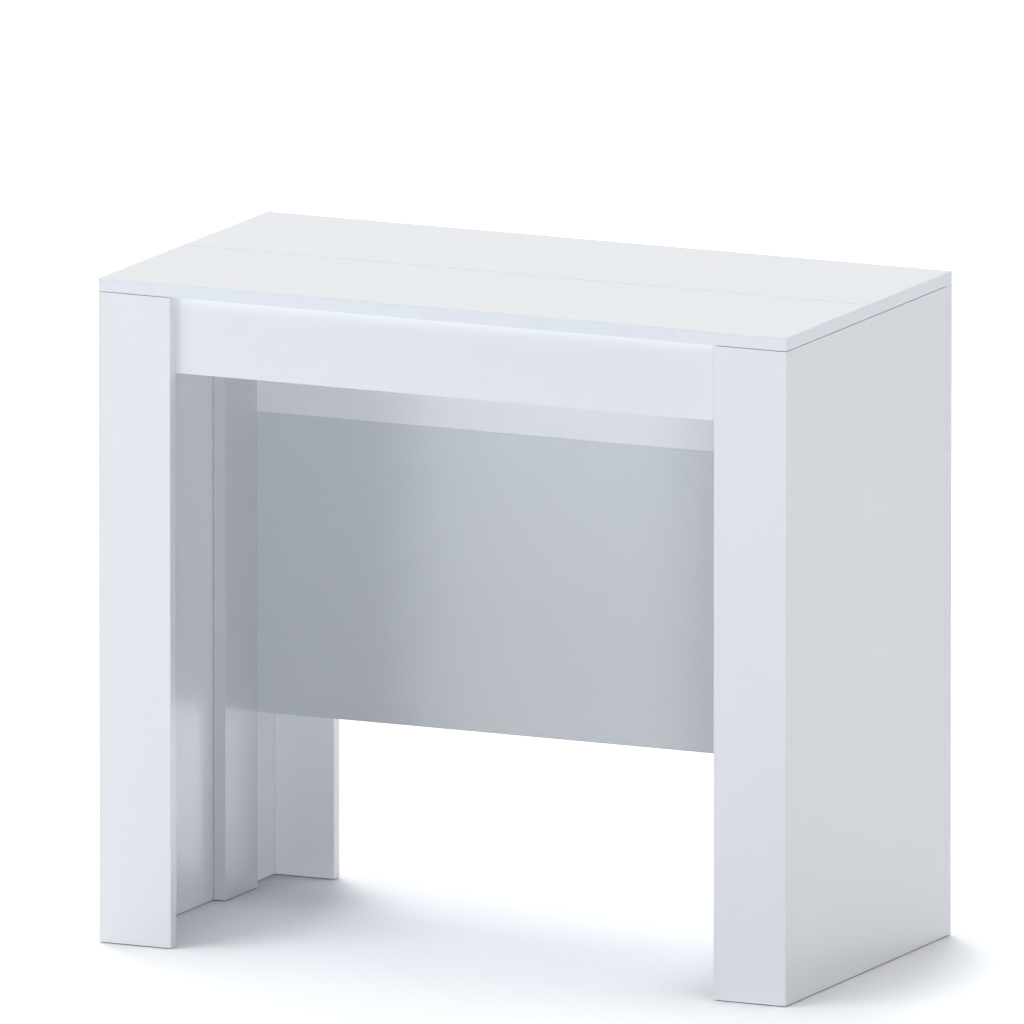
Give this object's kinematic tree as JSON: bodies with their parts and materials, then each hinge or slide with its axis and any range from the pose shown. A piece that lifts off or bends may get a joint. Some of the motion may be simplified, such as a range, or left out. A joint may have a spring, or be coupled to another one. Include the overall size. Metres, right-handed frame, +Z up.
{
  "type": "extendable console table",
  "caption": "White console table of flat boards with a split top; its front frame slides out on telescopic guides, and spare leaves stand behind the panel.",
  "frame": {"origin": "on the floor, under the middle of the closed table", "axes": "+X to the right of someone who faces the table's front, +Y from front to back, +Z up"},
  "size_m": [0.86, 0.45, 0.77],
  "materials": {
    "top_lacquer": "gloss white lacquer on particle board",
    "frame_lacquer": "satin white foil on particle board",
    "inner_foil": "satin pale grey foil on particle board",
    "beech": "bare turned wood",
    "anodised_aluminium": "natural anodised extrusion",
    "grey_nylon": "moulded nylon",
    "zinc_plated_steel": "bright zinc plate"
  },
  "bodies": {
    "rear_frame": {"cross_rail": "frame_lacquer", "inner_upright_left": "inner_foil", "inner_upright_right": "inner_foil", "leaf_1": "top_lacquer", "leaf_2": "top_lacquer", "leaf_3": "top_lacquer", "leaf_4": "top_lacquer", "leaf_pins": "beech", "leaf_shelf": "inner_foil", "modesty_panel": "inner_foil", "rear_apron": "frame_lacquer", "rear_apron_screws": "zinc_plated_steel", "rear_brackets": "zinc_plated_steel", "rear_dowels": "beech", "rear_glides": "grey_nylon", "rear_guide_bar_left": "anodised_aluminium", "rear_guide_bar_right": "anodised_aluminium", "rear_guide_sliders_left": "grey_nylon", "rear_guide_sliders_right": "grey_nylon", "rear_leg_left": "frame_lacquer", "rear_leg_right": "frame_lacquer", "rear_screws": "zinc_plated_steel", "top_rear": "top_lacquer"},
    "front_frame": {"front_apron": "frame_lacquer", "front_apron_screws": "zinc_plated_steel", "front_brackets": "zinc_plated_steel", "front_dowels": "beech", "front_glides": "grey_nylon", "front_guide_bar_left": "anodised_aluminium", "front_guide_bar_right": "anodised_aluminium", "front_guide_sliders_left": "grey_nylon", "front_guide_sliders_right": "grey_nylon", "front_leg_left": "frame_lacquer", "front_leg_right": "frame_lacquer", "front_screws": "zinc_plated_steel", "side_panel_left": "frame_lacquer", "side_panel_right": "frame_lacquer", "top_front": "top_lacquer", "top_pins": "beech"},
    "guide_1_left": {"guide_1_bar_left": "anodised_aluminium", "guide_1_sliders_left": "grey_nylon"},
    "guide_1_right": {"guide_1_bar_right": "anodised_aluminium", "guide_1_sliders_right": "grey_nylon"},
    "guide_2_left": {"guide_2_bar_left": "anodised_aluminium", "guide_2_sliders_left": "grey_nylon"},
    "guide_2_right": {"guide_2_bar_right": "anodised_aluminium", "guide_2_sliders_right": "grey_nylon"},
    "guide_3_left": {"guide_3_bar_left": "anodised_aluminium", "guide_3_sliders_left": "grey_nylon"},
    "guide_3_right": {"guide_3_bar_right": "anodised_aluminium", "guide_3_sliders_right": "grey_nylon"},
    "guide_4_left": {"guide_4_bar_left": "anodised_aluminium", "guide_4_sliders_left": "grey_nylon"},
    "guide_4_right": {"guide_4_bar_right": "anodised_aluminium", "guide_4_sliders_right": "grey_nylon"},
    "guide_5_left": {"guide_5_bar_left": "anodised_aluminium", "guide_5_sliders_left": "grey_nylon"},
    "guide_5_right": {"guide_5_bar_right": "anodised_aluminium", "guide_5_sliders_right": "grey_nylon"}
  },
  "joints": [
    {"name": "front_extension", "type": "slide", "parent": "rear_frame", "child": "front_frame", "axis": [0, -1, 0], "range_m": [0, 1.72]},
    {"name": "guide_1_left_slide", "type": "slide", "parent": "rear_frame", "child": "guide_1_left", "axis": [0, -1, 0], "range_m": [0, 0.2867]},
    {"name": "guide_2_left_slide", "type": "slide", "parent": "rear_frame", "child": "guide_2_left", "axis": [0, -1, 0], "range_m": [0, 0.5734]},
    {"name": "guide_3_left_slide", "type": "slide", "parent": "rear_frame", "child": "guide_3_left", "axis": [0, -1, 0], "range_m": [0, 0.86]},
    {"name": "guide_4_left_slide", "type": "slide", "parent": "rear_frame", "child": "guide_4_left", "axis": [0, -1, 0], "range_m": [0, 1.1467]},
    {"name": "guide_5_left_slide", "type": "slide", "parent": "rear_frame", "child": "guide_5_left", "axis": [0, -1, 0], "range_m": [0, 1.4334]},
    {"name": "guide_1_right_slide", "type": "slide", "parent": "rear_frame", "child": "guide_1_right", "axis": [0, -1, 0], "range_m": [0, 0.2867]},
    {"name": "guide_2_right_slide", "type": "slide", "parent": "rear_frame", "child": "guide_2_right", "axis": [0, -1, 0], "range_m": [0, 0.5734]},
    {"name": "guide_3_right_slide", "type": "slide", "parent": "rear_frame", "child": "guide_3_right", "axis": [0, -1, 0], "range_m": [0, 0.86]},
    {"name": "guide_4_right_slide", "type": "slide", "parent": "rear_frame", "child": "guide_4_right", "axis": [0, -1, 0], "range_m": [0, 1.1467]},
    {"name": "guide_5_right_slide", "type": "slide", "parent": "rear_frame", "child": "guide_5_right", "axis": [0, -1, 0], "range_m": [0, 1.4334]}
  ],
  "couplings": [
    {"joint": "guide_1_left_slide", "follows": "front_extension", "ratio": 0.16667},
    {"joint": "guide_2_left_slide", "follows": "front_extension", "ratio": 0.33333},
    {"joint": "guide_3_left_slide", "follows": "front_extension", "ratio": 0.5},
    {"joint": "guide_4_left_slide", "follows": "front_extension", "ratio": 0.66667},
    {"joint": "guide_5_left_slide", "follows": "front_extension", "ratio": 0.83333},
    {"joint": "guide_1_right_slide", "follows": "front_extension", "ratio": 0.16667},
    {"joint": "guide_2_right_slide", "follows": "front_extension", "ratio": 0.33333},
    {"joint": "guide_3_right_slide", "follows": "front_extension", "ratio": 0.5},
    {"joint": "guide_4_right_slide", "follows": "front_extension", "ratio": 0.66667},
    {"joint": "guide_5_right_slide", "follows": "front_extension", "ratio": 0.83333}
  ]
}
